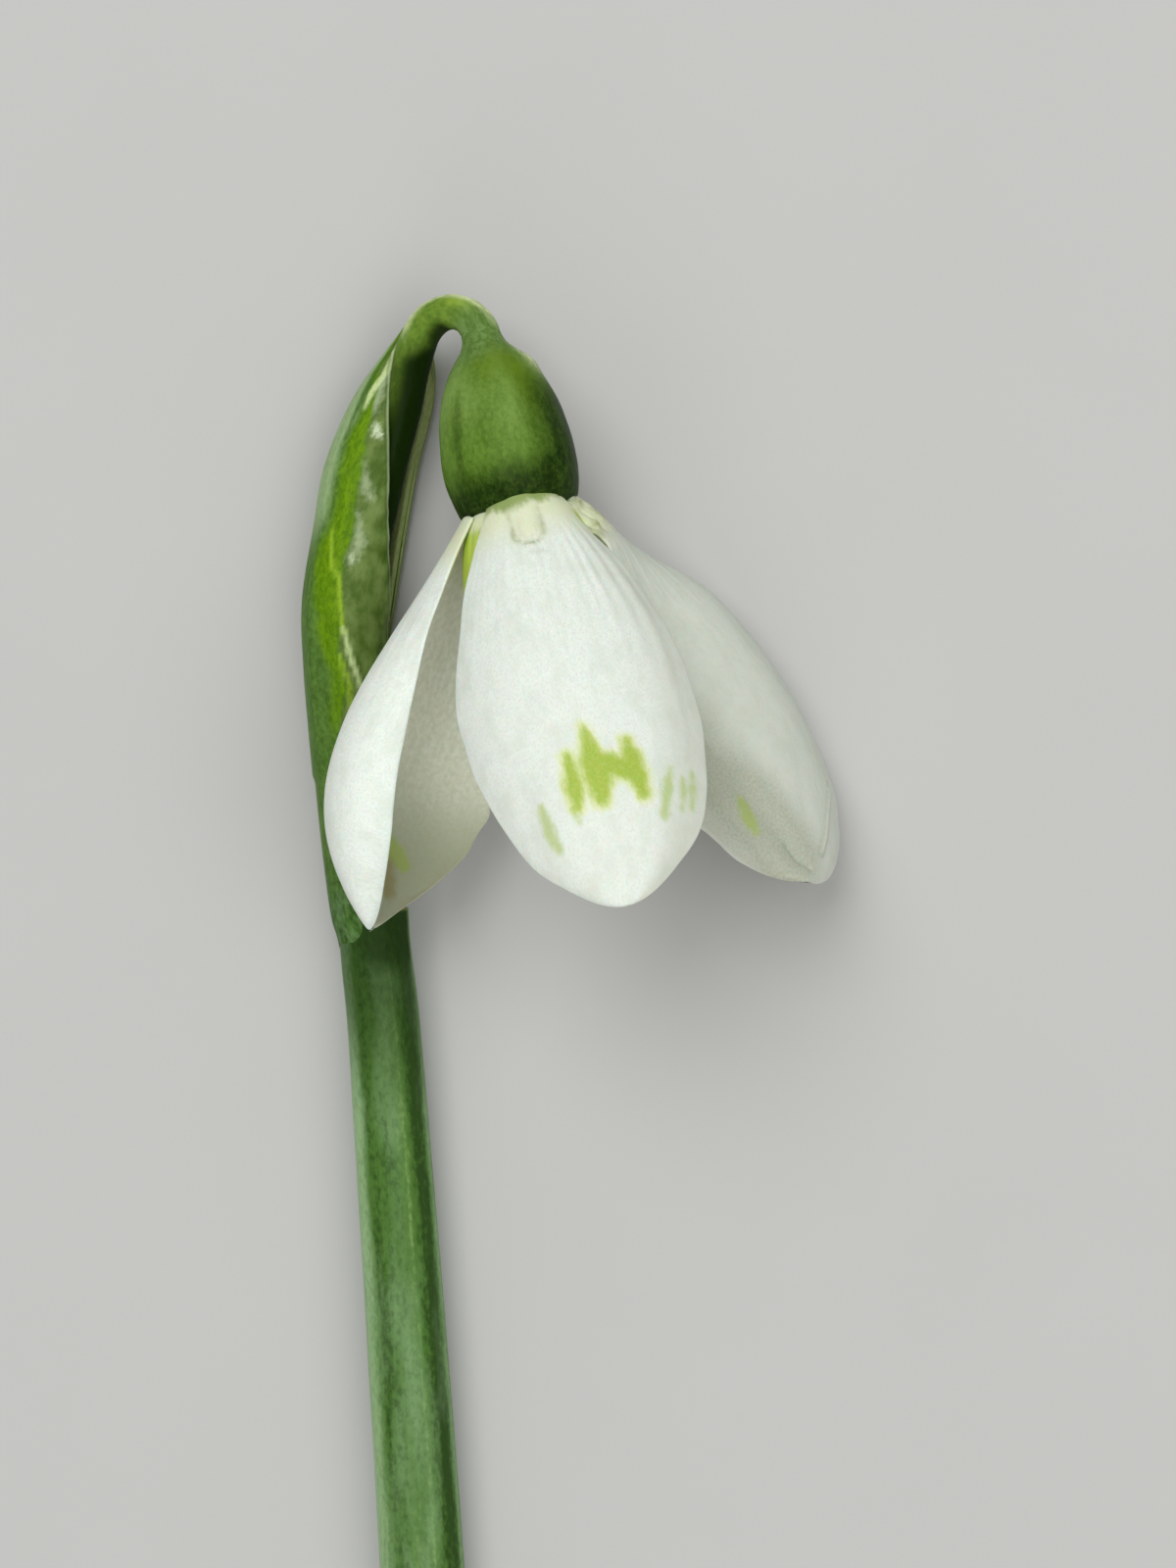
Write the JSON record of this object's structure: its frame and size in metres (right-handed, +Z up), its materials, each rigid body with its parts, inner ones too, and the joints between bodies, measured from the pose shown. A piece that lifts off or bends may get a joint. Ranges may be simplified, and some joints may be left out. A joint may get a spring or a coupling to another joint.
{
  "type": "snowdrop flower",
  "caption": "Cut snowdrop lying on a surface: leafless stem, sheath, hooked stalk and one nodding white flower with green marks.",
  "frame": {"origin": "middle of the overall footprint, on the surface that the flower lies on", "axes": "+Y from the cut end of the stem towards the flower, along the longest extent; +Z up from the surface; +X to the side that the flower hangs on"},
  "size_m": [0.032, 0.1014, 0.0234],
  "materials": {
    "stem": "matt green plant stem with a pale waxy bloom",
    "sheath": "green leaf tissue with a papery, half clear membrane",
    "stalk": "soft sheen green stalk",
    "ovary": "satin green skin",
    "outer_petal": "soft matt white petal with fine ribs and faint green marks",
    "inner_petal": "soft matt white petal with a green mark",
    "filament": "matt pale green-white",
    "anther": "matt orange-yellow",
    "style": "matt pale green"
  },
  "bodies": {
    "root": {"scape": "stem", "spathe": "sheath", "pedicel": "stalk", "ovary": "ovary", "outer_tepal_front": "outer_petal", "outer_tepal_left": "outer_petal", "outer_tepal_right": "outer_petal", "inner_tepal_1": "inner_petal", "inner_tepal_2": "inner_petal", "inner_tepal_3": "inner_petal", "filament_1": "filament", "filament_2": "filament", "filament_3": "filament", "filament_4": "filament", "filament_5": "filament", "filament_6": "filament", "anther_1": "anther", "anther_2": "anther", "anther_3": "anther", "anther_4": "anther", "anther_5": "anther", "anther_6": "anther", "style": "style"}
  },
  "joints": []
}
